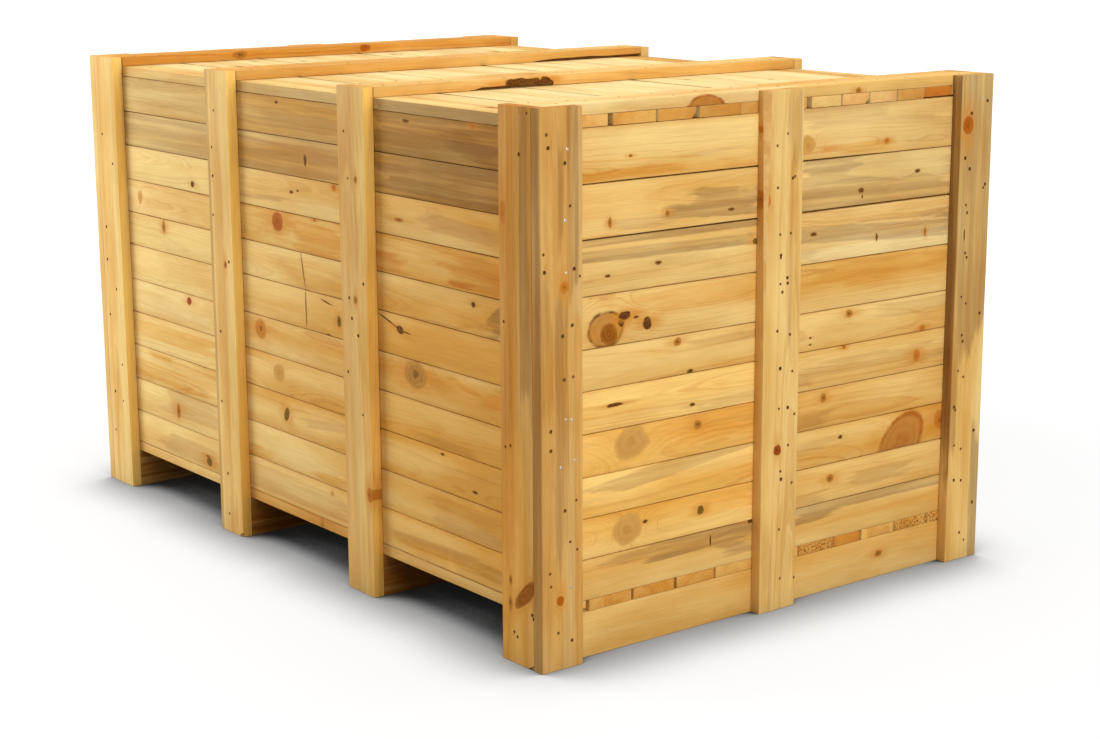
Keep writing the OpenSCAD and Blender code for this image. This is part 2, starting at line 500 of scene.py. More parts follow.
# %% [markdown]
# ## Wood, cut out of a solid log
#
# A board shows long lines on its face, thin lines on its edge and rings on its end, and they all
# meet at the corners, because they are cuts through the same growth rings. So the material works
# the same way. For each point it finds the distance to the middle of the log, the pith, which
# lies some way under the board's face. That distance, divided by the width of a ring, makes the
# rings. A slow noise bends them, a taper lets them run out of the face as pointed arches, and
# each knot pushes them aside.
#
# First come small helpers. A wire is an output of a node that can be added, multiplied and so on,
# and each sum adds a node, so the code of a material reads like the formula it is. Nodes are also
# wrapped in groups with named inputs.

# %% Wires
class Wire:
    """The output of a node, to be used in sums and as the input of further nodes."""

    def __init__(self, socket):
        self.socket = socket

    def __add__(self, other):
        return maths("ADD", self, other)

    def __sub__(self, other):
        return maths("SUBTRACT", self, other)

    def __mul__(self, other):
        return maths("MULTIPLY", self, other)

    def __truediv__(self, other):
        return maths("DIVIDE", self, other)


def connect(value, socket):
    """Links a wire to a socket, or sets the socket to a plain value."""
    if isinstance(value, Wire):
        socket.id_data.links.new(value.socket, socket)
    else:
        socket.default_value = value


def home(values):
    """The node tree that the wires among some values come from."""
    return next(value.socket.id_data for value in values if isinstance(value, Wire))


def put(kind, inputs, tree=None, output=0, **settings):
    """Adds a node beside the wires it takes in, fills its inputs and gives back one output."""
    named = dict(inputs if isinstance(inputs, dict) else enumerate(inputs))
    node = (tree or home(named.values())).nodes.new("ShaderNode" + kind)
    for name, value in settings.items():
        setattr(node, name, value)
    for key, value in named.items():
        connect(value, node.inputs[key])
    return Wire(node.outputs[output])


# %% Formulas
def maths(operation, *values):
    return put("Math", values, operation=operation)


def vectors(operation, *values, output=0):
    return put("VectorMath", values, output=output, operation=operation)


def split(place):
    """The three coordinates of a place."""
    return [Wire(socket) for socket in put("SeparateXYZ", (place,)).socket.node.outputs]


def ramp(value, start, end, low=0.0, high=1.0):
    """A smooth step of value from low at start to high at end."""
    return put("MapRange", (value, start, end, low, high), interpolation_type="SMOOTHSTEP")


def mix(factor, first, second, blend="MIX"):
    return put("Mix", {0: factor, 6: first, 7: second}, output=2, data_type="RGBA", blend_type=blend)


def tinted(colour, tint):
    return mix(1.0, colour, tint, "MULTIPLY")


def noise(place, waves, shift=None, detail=2.0, rough=0.5):
    """Noise between 0 and 1, with so many waves to the metre along each way of the board."""
    place = vectors("MULTIPLY", place, waves)
    if shift is not None:
        place = vectors("ADD", place, shift)
    return put("TexNoise", {"Vector": place, "Scale": 1.0, "Detail": detail, "Roughness": rough})


# %% Groups, materials and colours
def group(name, inputs, outputs):
    """A new node group: the group, its inputs as wires, and a function that links its outputs. An
    input's type follows its default: a number, 3 numbers for a vector or 4 for a colour."""
    tree = bpy.data.node_groups.new(name, "ShaderNodeTree")
    kinds = {3: "NodeSocketVector", 4: "NodeSocketColor"}
    for label, default in inputs.items():
        kind = kinds[len(default)] if isinstance(default, tuple) else "NodeSocketFloat"
        tree.interface.new_socket(name=label, in_out="INPUT", socket_type=kind).default_value = default
    for label, kind in outputs.items():
        tree.interface.new_socket(name=label, in_out="OUTPUT", socket_type="NodeSocket" + kind)
    got = {socket.name: Wire(socket) for socket in tree.nodes.new("NodeGroupInput").outputs}
    ends = tree.nodes.new("NodeGroupOutput").inputs

    def give(**results):
        for label, value in results.items():
            connect(value, ends[label])
        print(f"{name}: {len(tree.nodes)} nodes")

    return tree, got, give


def use(inner, **inputs):
    """Adds a group beside the wires it takes in, and gives back its outputs by name."""
    node = home(inputs.values()).nodes.new("ShaderNodeGroup")
    node.node_tree = inner
    for label, value in inputs.items():
        connect(value, node.inputs[label.replace("_", " ")])
    return {socket.name: Wire(socket) for socket in node.outputs}


def place_in(material):
    """A wire with the place of each point of the piece that wears a material."""
    material.use_nodes = True
    return put("TexCoord", (), tree=material.node_tree, output="Object")


def coat(material, **inputs):
    """Fills the inputs of a material's shader."""
    for label, value in inputs.items():
        connect(value, material.node_tree.nodes["Principled BSDF"].inputs[label.replace("_", " ")])


def paint(red, green, blue):
    """A colour as a screen shows it, 0 to 255, turned into the light it stands for."""
    return tuple((c / 255 / 12.92) if c < 11 else ((c / 255 + 0.055) / 1.055) ** 2.4
                 for c in (red, green, blue)) + (1.0,)


# %% [markdown]
# ## Growth rings
#
# This group follows the idea above line by line. Side and deep lead to the radius, drift and
# wobble bend it, and the fraction of a ring at which a point lies tells how far it is into the
# dark late wood of that year. Streaks and patches make the wood more or less golden, and fine
# fibres give it a tone and a height.

# %% The growth rings
NOWHERE, WHITE = (0.0, 0.0, 0.0), (1.0, 1.0, 1.0, 1.0)
PALE_PINE, GOLD_PINE, LATE_WOOD = paint(240, 206, 132), paint(224, 163, 70), paint(198, 124, 42)
MOST_DRIFT, MOST_WOBBLE = 26 * MM, 3.5 * MM

growth_rings, got, give = group(
    "growth rings",
    {"place": NOWHERE, "shift": NOWHERE, "swell": 0.0, "pith across": 0.0, "pith depth": -0.06,
     "taper": 0.01, "ring width": 0.004, "lines": 0.6, "gold": 0.5, "fade": 0.0},
    {"colour": "Color", "height": "Float"})
place, shift = got["place"], got["shift"]
along, across, out = split(place)
side, deep = across - got["pith across"], out - got["pith depth"]
drift = noise(place, (1.4, 5, 5), shift) - 0.5
wobble = noise(place, (9, 36, 36), shift) - 0.5
radius = maths("SQRT", side * side + deep * deep) + along * got["taper"]
radius = radius + drift * MOST_DRIFT + wobble * MOST_WOBBLE + got["swell"]
uneven = put("TexNoise", {"W": radius * 60.0, "Detail": 1.0}, noise_dimensions="1D")
rings = radius / got["ring width"] + uneven * 2.4
within = maths("FRACT", rings)
year = put("TexWhiteNoise", {"W": maths("FLOOR", rings)}, noise_dimensions="1D")
late = ramp(within, 0.30, 0.86) * ramp(within, 0.88, 1.0, 1.0, 0.0) * ramp(year, 0.0, 1.0, 0.15, 1.0)
streak = noise(place, (1.0, 17, 17), shift, detail=2.5)
patch = noise(place, (3.4, 12, 12), shift, detail=3.0)
fibre = noise(place, (16, 480, 480), shift, rough=0.7)
goldness = (ramp(streak, 0.34, 0.68, -0.16, 0.30) + ramp(patch, 0.30, 0.70, -0.14, 0.20)
            + along * got["fade"] + got["gold"])
colour = mix(goldness, PALE_PINE, GOLD_PINE)
colour = mix(late * got["lines"] * ramp(patch, 0.25, 0.75, 0.45, 1.15), colour, LATE_WOOD)
tone = ramp(fibre, 0.2, 0.8, 0.91, 1.04) * ramp(patch, 0.2, 0.8, 1.04, 0.93)
give(colour=tinted(colour, tone), height=late * 0.35 + fibre * 0.65)

# %% [markdown]
# ## Knots
#
# A knot is where a branch was. The rings swell round it, so its first group gives a swell to add
# to the ring distance, how far each point lies from the middle in knot sizes, and a warm halo. The
# outline is roughened by a noise that grows with the knot, so that a large knot is as uneven as a
# small one. A knot on a board's edge goes only so deep into the board. The second group paints
# the core with rings of its own, the dark rim and the halo over the finished grain.

# %% Where a knot lies
THROUGH = 1000.0
knot_place, got, give = group(
    "knot place", {"place": NOWHERE, "at": NOWHERE, "size": 0.01, "long": 1.0, "turn": 0.0,
                   "bend": 0.01, "rough": 0.6, "deep": THROUGH},
    {"swell": "Float", "reach": "Float", "halo": "Float"})
away = put("VectorRotate", {"Vector": vectors("SUBTRACT", got["place"], got["at"]), "Angle": got["turn"]},
           rotation_type="Z_AXIS")
along, across, out = split(away)
x, y, z = along / got["long"] / got["size"], across / got["size"], out / got["deep"]
own = vectors("MULTIPLY", got["at"], (37.0, 37.0, 37.0))
rough = noise(put("CombineXYZ", (x, y, 0.0)), (0.9, 0.9, 0.9), own, detail=3.0) - 0.5
flame = noise(got["place"], (14, 90, 90), own, detail=3.0) - 0.5
reach = maths("SQRT", x * x + y * y + z * z) + rough * got["rough"]
spread = reach * reach * 0.35 + 1.0
wide = maths("SQRT", x * x * 0.10 + y * y * 0.50) + flame * 1.6
give(swell=got["bend"] / (spread * spread), reach=reach, halo=ramp(wide, 0.2, 1.6, 1.0, 0.0))

# %% How a knot is painted
HALO_GOLD, KNOT_GOLD = paint(206, 132, 40), paint(220, 160, 60)
knot_paint, got, give = group(
    "knot paint", {"colour": WHITE, "place": NOWHERE, "reach": 5.0, "halo": 0.0, "size": 0.01,
                   "core colour": (0.3, 0.1, 0.03, 1.0), "rim colour": (0.1, 0.05, 0.01, 1.0),
                   "edge": 0.5, "glow": 0.4, "rings": 0.3, "soft": 0.2, "heart": 0.0},
    {"colour": "Color"})
reach, rim_colour = got["reach"], got["rim colour"]
warm = mix(got["halo"] * got["glow"], got["colour"], HALO_GOLD)
blotch = noise(got["place"], maths("DIVIDE", 1.5, got["size"]), detail=3.0, rough=0.6)
ripple = maths("SINE", blotch * 9.0 + reach * 15.0)
core = mix(ramp(ripple, -0.4, 1.0) * got["rings"], got["core colour"], rim_colour)
core = mix(ramp(blotch * 0.5 + reach, 0.40, 0.80, 1.0, 0.0) * got["heart"], core, rim_colour)
core = mix(ramp(blotch, 0.45, 0.70, 0.0, 0.12), core, KNOT_GOLD)
inside = ramp(reach, maths("SUBTRACT", 1.0, got["soft"]), got["soft"] + 1.0, 1.0, 0.0)
rim = ramp(reach, 0.82, 0.97) * ramp(reach, 0.99, 1.14, 1.0, 0.0) * ramp(blotch, 0.36, 0.56, 0.35, 1.0)
give(colour=mix(rim * got["edge"], mix(inside, warm, core), rim_colour))

# %% [markdown]
# ## Grey stain
#
# Much of the crate is cut from sapwood that a harmless fungus has stained grey. The stain lies in
# long patches with sharp, flame-like edges that follow the grain. The group makes a mask. It is a
# window on the board, whose edges may climb along it, torn by a noise that is stretched along the
# grain. Where two patches of one kind overlap, the stronger one counts, and the wood inside is
# multiplied by the colour of that kind. Smoky, reddish and golden streaks are made the same way,
# and so are a few patches of painted light and painted shade.

# %% Stain group
STAIN_EDGE, STAIN_END = 2.2 * MM, 30 * MM
stain, got, give = group(
    "stain", {"place": NOWHERE, "shift": NOWHERE, "start": -1.0, "end": 1.0, "low": -1.0, "high": 1.0,
              "rise": 0.0, "ragged": 0.03, "amount": 0.6}, {"mask": "Float"})
place, shift = got["place"], got["shift"]
along, across, out = split(place)
tongues = noise(place, (4.0, 26, 26), shift, detail=5.0, rough=0.62) - 0.5
across = tongues * got["ragged"] + across - (along - got["start"]) * got["rise"]
along = tongues * 0.45 + along
lines = noise(place, (1.8, 60, 60), shift, detail=3.0, rough=0.6)
mask = got["amount"] * ramp(lines, 0.30, 0.58, 0.50, 1.0)
for value, first, last, soft in ((across, "low", "high", STAIN_EDGE), (along, "start", "end", STAIN_END)):
    mask = mask * ramp(value - got[first], -soft, soft) * ramp(value - got[last], -soft, soft, 1.0, 0.0)
give(mask=mask)

# %% [markdown]
# ## Sawn ends, edges and roughness
#
# The end of a board drinks up dirt and shows its pores, so it is a little darker and more orange
# than the face, and some ends take up far more than others. A few are coarse and speckled. Near
# the long edges, where two boards meet, the wood is darkened with painted shade. The last group
# adds all this, and turns the height of fibres and saw marks into a bump.

# %% Surface group
END_DARK, END_LIGHT, END_SPECK = (0.90, 0.75, 0.54, 1.0), (0.98, 0.86, 0.67, 1.0), (0.24, 0.14, 0.06, 1.0)
SAW_MARKS = 1.2 * MM
# Painted shade in the seams: the colour it multiplies the wood by, its softness and its reach.
SEAM_SHADE, SEAM_SHADE_EDGE, SEAM_SHADE_REACH = (0.55, 0.40, 0.26, 1.0), 3 * MM, 8 * MM
surface, got, give = group(
    "sawn surface", {"colour": WHITE, "height": 0.5, "place": NOWHERE, "shift": NOWHERE,
                     "along": (1.0, 0.0, 0.0), "half width": 0.05, "grime": 0.1, "end tint": WHITE,
                     "end specks": 0.0},
    {"colour": "Color", "roughness": "Float", "normal": "Vector"})
place, shift, colour = got["place"], got["shift"], got["colour"]
facing = put("TexCoord", (), tree=surface, output="Normal")
endness = ramp(maths("ABSOLUTE", vectors("DOT_PRODUCT", facing, got["along"], output="Value")), 0.6, 0.8)
pores = noise(place, (900, 420, 420), shift, detail=3.0, rough=0.7)
end_tone = tinted(mix(ramp(pores, 0.35, 0.7), END_DARK, END_LIGHT), got["end tint"])
specks = ramp(noise(place, (60, 210, 210), shift, rough=0.6), 0.50, 0.60)
end_tone = mix(specks * got["end specks"], end_tone, END_SPECK)
colour = mix(endness, colour, tinted(colour, end_tone))
# Painted shade near each long edge, where two boards meet, over a reach that a noise makes wander.
shade_wander = noise(place, (14, 60, 60), shift, detail=3.0, rough=0.6)
inset = got["half width"] - maths("ABSOLUTE", split(place)[1]) - shade_wander * SEAM_SHADE_REACH
seam_shade = ramp(inset, -SEAM_SHADE_EDGE, SEAM_SHADE_EDGE, 1.0, 0.0) * got["grime"]
height = noise(place, (210, 9, 9), shift) * 0.5 + got["height"]
give(colour=mix(seam_shade, colour, tinted(colour, SEAM_SHADE)), roughness=ramp(height, 0.3, 1.2, 0.78, 0.58),
     normal=put("Bump", {"Strength": 0.45, "Distance": SAW_MARKS, "Height": height}))


# %% Bark, crushed and torn wood, and steel
def mottle(material, dark, light, waves, roughness, metal=0.0, bump=0.6):
    """Gives a material mottled colours, with so many waves to the metre and a bump in millimetres."""
    spots = noise(place_in(material), waves, detail=4.0, rough=0.65)
    coat(material, Base_Color=mix(ramp(spots, 0.30, 0.70), paint(*dark), paint(*light)),
         Roughness=ramp(spots, 0.3, 0.7, roughness + 0.1, roughness - 0.1),
         Normal=put("Bump", {"Strength": 0.6, "Distance": bump * MM, "Height": spots}),
         Metallic=metal, Specular_IOR_Level=0.15)


mottle(bark_side, (216, 164, 92), (232, 190, 122), (30, 30, 30), 0.7)
mottle(crushed_wood, (84, 50, 18), (150, 100, 44), (300, 300, 300), 0.8)
mottle(torn_wood, (150, 100, 50), (226, 176, 100), (70, 300, 300), 0.8)
mottle(dark_nail, (58, 36, 16), (116, 78, 38), (160, 160, 160), 0.6, metal=0.2, bump=0.2)
mottle(bright_nail, (170, 160, 150), (235, 230, 225), (260, 260, 260), 0.35, metal=0.8, bump=0.2)
print("mottled finishes: bark, crushed and torn wood, dark and bright nails")

# %% [markdown]
# ## What each board looks like
#
# A kind of knot has a core and a rim colour, and says how strong the rim, the warm halo and the
# rings are, how rough its outline is, how soft its edge is and how dark its middle is. A kind of
# stain is the colour that the wood is multiplied by, and a few kinds are painted light or shade.
#
# The boards that the reference shows are listed, all lengths in millimetres: how golden the wood
# is and how much more so towards the front end, where the pith lies across the board and under
# its face, how the log tapers, how strong the ring lines are, and for one board how wide the rings
# are. A knot is given by its place on the face, its size and its kind, and, where it isn't round,
# how long it is and how it is turned. A stain stands under its kind, with where it starts and ends
# along the board, its lower and upper edge, how ragged its edges are, how strong it is, and how
# steeply it climbs. A kind with only a number stains the whole board that strongly.

# %% Kinds of knot and stain
KNOT_WORDS = ("core_colour", "rim_colour", "edge", "glow", "rings", "rough", "soft", "heart")
KNOT_KINDS = {
    "spot": ((104, 60, 14), (104, 60, 14), 0.0, 0.15, 0.0, 1.2, 0.35, 0.0),
    "brown": ((182, 118, 40), (104, 62, 18), 0.2, 0.5, 0.25, 0.8, 0.25, 0.8),
    "red": ((200, 120, 36), (146, 76, 20), 0.25, 0.6, 0.2, 0.8, 0.22, 0.6),
    "orange": ((178, 90, 6), (124, 60, 6), 0.3, 0.65, 0.16, 0.5, 0.15, 0.4),
    "deep": ((156, 66, 14), (96, 44, 10), 0.35, 0.45, 0.2, 0.5, 0.15, 0.6),
    "hearted": ((202, 128, 44), (136, 74, 20), 0.3, 0.6, 0.3, 0.5, 0.2, 0.8),
    "dark": ((96, 58, 18), (60, 34, 10), 0.4, 0.45, 0.1, 0.9, 0.2, 0.0),
    "faint": ((206, 154, 78), (172, 114, 36), 0.05, 0.15, 0.14, 0.7, 0.16, 0.3),
    "loose": ((192, 138, 68), (84, 48, 12), 0.9, 0.1, 0.16, 0.3, 0.05, 0.0),
    "arch": ((190, 126, 52), (168, 90, 22), 0.9, 0.3, 0.25, 0.3, 0.09, 0.35),
    "green": ((122, 92, 28), (84, 58, 14), 0.4, 0.6, 0.25, 0.6, 0.15, 0.5),
    "grey": ((188, 132, 56), (122, 78, 22), 0.15, 0.6, 0.3, 0.8, 0.28, 0.9),
    "bark": ((106, 58, 14), (62, 32, 8), 0.3, 0.7, 0.5, 1.0, 0.12, 0.0),
    "amber": ((156, 88, 12), (108, 58, 8), 0.4, 0.5, 0.4, 0.7, 0.2, 0.0),
    "crack": ((110, 70, 26), (110, 70, 26), 0.0, 0.15, 0.0, 0.5, 0.4, 0.0),
}
for kind, (core, rim, *rest) in KNOT_KINDS.items():
    KNOT_KINDS[kind] = dict(zip(KNOT_WORDS, (paint(*core), paint(*rim), *rest)))
# The colour that each kind of stain multiplies the wood by. Most are stains of the wood itself. Two kinds
# are painted light: the kind called light brightens the left half of four front boards, and the warm,
# bright kind lights the narrow faces of three side posts that look at the front end. The damp kind is a
# damp stain on the right front post and darkens the front part of the two top side boards, and it is
# painted shadow along the bottom of the lowest side board and painted shade on the inner skids. The dirty
# kind is dirt and painted shade on the inner skids.
STAIN_KINDS = {
    "grey": (0.59, 0.55, 0.57), "smoke": (0.76, 0.7, 0.7), "flame": (0.9, 0.71, 0.42),
    "red": (0.82, 0.54, 0.3), "pale": (1.05, 1.14, 1.4), "damp": (0.5, 0.42, 0.32),
    "dirty": (0.4, 0.24, 0.09), "light": (1.17, 1.16, 1.06), "ember": (1.3, 1.22, 0.8),
}
LOOKS = {}


def look(name, **words):
    """Lists what one board looks like, with its stains in a table of their own."""
    stains = {kind: words.pop(kind) for kind in STAIN_KINDS if kind in words}
    LOOKS[name] = words
    if stains:
        words["stains"] = stains


print("kinds of knot:", len(KNOT_KINDS), "and of stain:", len(STAIN_KINDS))

# %% The boards of the front end
FAR = 9000
# From end to end of any board, and the two bays between the front posts.
ALL, BAY_L, BAY_R = (-FAR, FAR), (-540, -30), (30, 530)
# The left half of a front board, where the kind called light lays painted light on four boards.
LEFT_HALF = [(-FAR, 0, *ALL, 0, 1.0)]
look("front_board_1", gold=0.34, pith=(-30, -45), taper=0.012, lines=0.4,
     knots=[(85, 952, 18, "faint", 1.3), (314, 944, 6, "red", 1.3), (-375, 965, 3, "brown", 1.6)],
     flame=[(-540, -210, 922, 940, 10, 0.8, 0.02), (-540, -150, 962, 965, 6, 0.8, -0.03),
            (-110, -30, 925, 945, 10, 0.5), (200, 350, 927, 947, 12, 0.9)],
     smoke=[(-210, -120, 952, 962, 20, 0.5), (30, 300, 982, 1040, 20, 0.9, -0.02),
            (250, 530, 979, 998, 15, 0.9, -0.02), (*BAY_R, 900, 1050, 0, 0.4)],
     red=[(120, 200, 933, 947, 10, 0.8)])
look("front_board_2", gold=0.3, pith=(20, -60), taper=-0.016, lines=0.35,
     knots=[(-425, 843, 10, "brown", 0.45), (-283, 848, 6, "brown", 0.9), (-118, 841, 3, "spot", 2.8),
            (242, 847, 6, "spot", 1.3), (246, 834, 4, "spot", 0.6), (410, 874, 4, "spot", 2.0)],
     grey=[(-290, -30, 835, 864, 30, 1.0, -0.03), (-190, -30, 835, 892, 20, 0.9, -0.05),
           (0, 180, 800, 930, 20, 0.9), (0, 550, *ALL, 0, 0.4), (30, 370, 800, 905, 20, 0.9, -0.13),
           (340, 530, 800, 880, 20, 0.8, -0.15)],
     smoke=[(-410, -280, 826, 848, 12, 0.7, -0.02), (480, 530, 860, 900, 10, 0.5)],
     flame=[(-540, -380, 812, 820, 6, 0.7)])
look("front_board_3", gold=0.12, pith=(15, -40), taper=0.01, lines=0.3,
     knots=[(-305, 755, 3.5, "spot", 2.4), (-430, 743, 3, "spot", 2.2), (-52, 771, 6, "green", 1.2),
            (108, 769, 4, "spot", 2.2), (292, 745, 8, "spot", 0.4), (439, 742, 9, "brown", 0.4)],
     grey=[(-520, -30, 802, 830, 8, 0.9), (*BAY_L, 772, 794, 10, 0.9, -0.01),
           (250, 500, 781, 786, 4, 0.7, -0.02), (*BAY_R, 755, 792, 12, 0.7, -0.06),
           (460, 530, 765, 790, 20, 0.8)],
     smoke=[(-270, -190, 742, 766, 20, 0.6), (-540, -460, 733, 739, 4, 0.6), (60, 120, 712, 735, 15, 0.5)],
     pale=[(*BAY_R, 700, 820, 0, 0.9)])
look("front_board_4", gold=0.4, fade=0.1, pith=(30, -50), taper=0.008, lines=0.45,
     knots=[(-435, 641, 34, "loose", 1.25), (-427, 631, 19, "amber", 1.0), (-396, 652, 10, "bark", 0.7),
            (-388, 663, 8, "bark", 1.8), (-360, 656, 3, "spot", 2.0), (-332, 641, 11, "bark", 1.0)],
     red=[(-410, -385, 672, 712, 4, 0.6)],
     flame=[(-320, -30, 655, 700, 20, 0.4), (180, 420, 637, 700, 30, 0.4), (400, 530, 650, 700, 20, 0.5)])
look("front_board_5", gold=0.46, pith=(-10, -70), taper=0.014, lines=0.4,
     knots=[(-255, 594, 8, "brown"), (-222, 531, 4, "spot", 2.0), (217, 592.5, 8, "brown"),
            (440, 533.5, 7, "red"), (105, 555, 2, "spot", 2.0), (105, 541, 2, "spot", 2.0)],
     smoke=[(-280, -30, 572, 590, 20, 0.7, 0.01), (250, 530, 570, 600, 20, 0.7)])
look("front_board_6", gold=0.42, pith=(12, -35), taper=-0.012, lines=0.45,
     knots=[(-412, 492, 3.5, "bark", 6.0), (-215, 463, 3.5, "spot", 2.2), (204, 523.5, 5, "red"),
            (425, 475.5, 13, "red", 0.75)], grey=[(-200, -30, 445, 464, 15, 0.5, 0.03)],
     smoke=[(30, 140, 455, 490, 20, 0.7), (100, 400, 470, 500, 20, 0.5), (430, 530, 463, 482, 10, 0.7)],
     light=LEFT_HALF)
look("front_board_7", gold=0.42, pith=(-20, -50), taper=0.01, lines=0.45,
     knots=[(-372, 411, 31, "faint", 1.4), (-200, 420, 9, "brown", 1.1), (147, 423, 10, "brown", 0.8)],
     flame=[(-280, -30, 385, 440, 20, 0.4, 0.03)], smoke=[(30, 200, 355, 392, 20, 0.7, 0.03)],
     light=LEFT_HALF)
look("front_board_8", gold=0.5, fade=0.2, pith=(-40, -60), taper=-0.01, lines=0.4,
     knots=[(383, 288, 52, "arch", 1.5, -0.7), (200, 331, 4, "spot", 1.6), (505, 322, 20, "red", 0.8)],
     grey=[(-460, -30, 308, 340, 12, 0.7, 0.11)], flame=[(-300, -30, 285, 330, 20, 0.4, 0.03)],
     smoke=[(30, 200, 305, 330, 20, 0.5, 0.05)], light=LEFT_HALF)
look("front_board_9", gold=0.52, pith=(0, -40), taper=0.012, lines=0.45,
     knots=[(-380, 240, 31, "faint", 1.2), (-335, 246, 4, "spot", 1.5), (-190, 243, 9, "green", 0.9),
            (172, 246, 9, "brown", 1.1)], flame=[(-180, -30, 225, 270, 20, 0.5, 0.03)],
     smoke=[(30, 160, 198, 225, 20, 0.8), (240, 420, 215, 248, 20, 0.8)], light=LEFT_HALF)
look("front_board_10", gold=0.4, pith=(35, -50), taper=0.012, lines=0.35,
     knots=[(-52, 194, 4, "bark", 2.4), (-163, 175, 12, "spot", 0.2)],
     grey=[(-300, -30, 160, 210, 20, 1.0, 0.02), (-420, -260, 168, 190, 15, 0.8, 0.03),
           (-120, -30, 130, 200, 30, 0.8), (30, 200, 158, 210, 20, 0.95, 0.04),
           (160, 530, 178, 210, 15, 0.9, -0.01)])
print("front boards:", len(LOOKS))

# %% The posts, the skid and the batten of the front end
RIGHT_POST_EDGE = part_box("front_post_right")[0][1] / MM + 2
# On front_post_left, the first grey patch, on the narrow face turned like the long side, is partly grey
# stain and partly painted shade.
look("front_post_left", gold=0.45, pith=(20, -30), taper=0.006, lines=0.3,
     knots=[(-553, 739, 9.5, "red", 1.15), (-565, 138, 8.5, "orange", 1.1)], smoke=0.8,
     grey=[(*ALL, -FAR, -607, 0, 0.8), (720, 1080, -545, -520, 8, 0.8), (850, 1020, -567, -555, 6, 0.7),
           (250, 720, -575, -545, 12, 0.6), (350, 520, -552, -543, 4, 0.6),
           (520, 720, -606, -580, 10, 0.45)],
     flame=[(950, 1060, -585, -575, 4, 0.5), (-FAR, 620, -530, FAR, 8, 0.8)],
     pale=[(680, 727, -575, -535, 10, 0.6)])
look("front_post_centre", gold=0.28, pith=(-30, -50), taper=0.012, lines=0.4,
     knots=[(-55, 993, 13, "red", 0.5), (-52, 855, 14, "red", 1.35), (-6, 341, 10, "deep", 1.1)],
     grey=[(930, 1080, 8, 45, 8, 0.7), (550, 950, 18, 26, 6, 0.5)], smoke=[(0, 120, -45, -15, 10, 0.5)],
     flame=[(0, 100, 30, 50, 10, 0.6), (180, 250, -6, 8, 3, 0.5)])
look("front_post_right", gold=0.28, pith=(50, -50), taper=0.01, lines=0.3,
     knots=[(535, 964, 15, "orange", 1.25), (535, 729, 2, "spot", 6.5)],
     grey=[(500, 1300, *ALL, 20, 0.9), (240, 520, 500, 530, 6, 0.9), (-100, 300, 582, 620, 6, 0.9)],
     damp=[(170, 1300, -FAR, RIGHT_POST_EDGE, 0, 0.9)], pale=[(970, 1300, 541, 547, 2, 0.9)])
look("skid_1", gold=0.45, pith=(-200, -40), taper=0.012, lines=0.3, rings=7,
     edge_knots=[(325, 52, 7, "brown", 1.5)])
look("lid_batten_1", gold=0.28, pith=(-100, -20), taper=0.01, lines=0.3,
     edge_knots=[(-185, 1040, 27, "arch", 1.75), (228, 1052, 6, "brown")], pale=[(-FAR, 20, *ALL, 0, 0.9)],
     flame=[(20, FAR, *ALL, 0, 0.7)])
print("front looks:", len(LOOKS))

# %% The boards of the long side
look("left_board_1", gold=0.45, lines=0.35,
     knots=[(442, 1010, 3.5, "spot", 3.0), (-57, 1012, 4, "spot", 1.6), (668, 1018, 6, "red", 1.6)],
     grey=[(300, FAR, *ALL, 0, 0.55), (-FAR, 300, *ALL, 0, 0.7)],
     smoke=[(600, 800, 965, 1010, 15, 0.6, -0.2)], damp=[(300, FAR, *ALL, 0, 0.65)])
look("left_board_2", gold=0.45, lines=0.35, knots=[(56, 896, 12, "spot", 0.5)],
     grey=[(-FAR, 300, *ALL, 0, 0.8), (300, FAR, *ALL, 0, 0.45)], smoke=[(480, FAR, *ALL, 0, 0.3)],
     damp=[(300, FAR, *ALL, 0, 0.72)])
look("left_board_3", gold=0.22, lines=0.3,
     knots=[(410, 810, 4, "brown", 4.0), (-5, 823, 3.5, "spot", 2.4), (21, 828, 2.5, "spot", 2.0),
            (168, 850, 7, "red", 1.2), (-451, 795, 7, "dark")],
     smoke=[(500, 800, 800, 835, 20, 0.7, -0.02), (-220, -50, 790, 800, 6, 0.8, 0.04)])
look("left_board_4", gold=0.45, pith=(-10, -40), lines=0.5,
     knots=[(-68, 752, 21, "orange", 1.05), (87, 773, 4, "red", 1.5), (-719, 737, 16, "faint", 0.7)],
     flame=[(0, 220, 700, 765, 30, 0.9), (550, 800, 700, 765, 30, 0.9)],
     red=[(570, 640, 700, 715, 10, 0.8), (330, 400, 700, 740, 20, 0.7)], pale=[(-FAR, -400, *ALL, 0, 0.6)])
look("left_board_5", gold=0.35, lines=0.35,
     knots=[(663, 675, 5.5, "dark"), (-603, 677, 15, "brown", 0.5), (34, 657, 38, "crack", 0.05, -0.205)],
     grey=[(690, 800, 580, 640, 10, 0.9, 0.75)], pale=[(330, 520, 620, 690, 30, 0.5)],
     flame=[(-50, 50, 620, 680, 20, 0.4)])
look("left_board_6", gold=0.55, lines=0.45,
     knots=[(368, 597, 2.2, "spot", 18.0, 0.29), (407, 585, 8, "dark", 1.5, 0.3),
            (427, 583, 1.5, "spot", 12.0, 0.07), (133, 529, 4, "spot", 3.0), (175, 567, 12, "green", 0.6),
            (126, 601, 1.8, "spot", 13.0, 0.17), (42, 572, 42, "crack", 0.05, -0.02)])
look("left_board_7", gold=0.35, lines=0.5,
     knots=[(460, 503, 25, "grey", 1.5), (-157, 500, 20, "hearted", 1.1), (-490, 514, 9, "deep", 1.2)],
     flame=[(550, 610, 515, 525, 8, 0.8, -0.15), (620, 700, 500, 512, 8, 0.8, -0.15),
            (690, 780, 480, 520, 20, 0.7)], pale=[(-800, -400, *ALL, 0, 0.4)])
look("left_board_8", gold=0.55, lines=0.4, knots=[(-82, 412, 20, "faint")],
     flame=[(-250, -120, 430, 450, 10, 0.8), (-820, -400, 390, 430, 15, 0.8)],
     smoke=[(480, 660, 366, 385, 10, 0.7)])
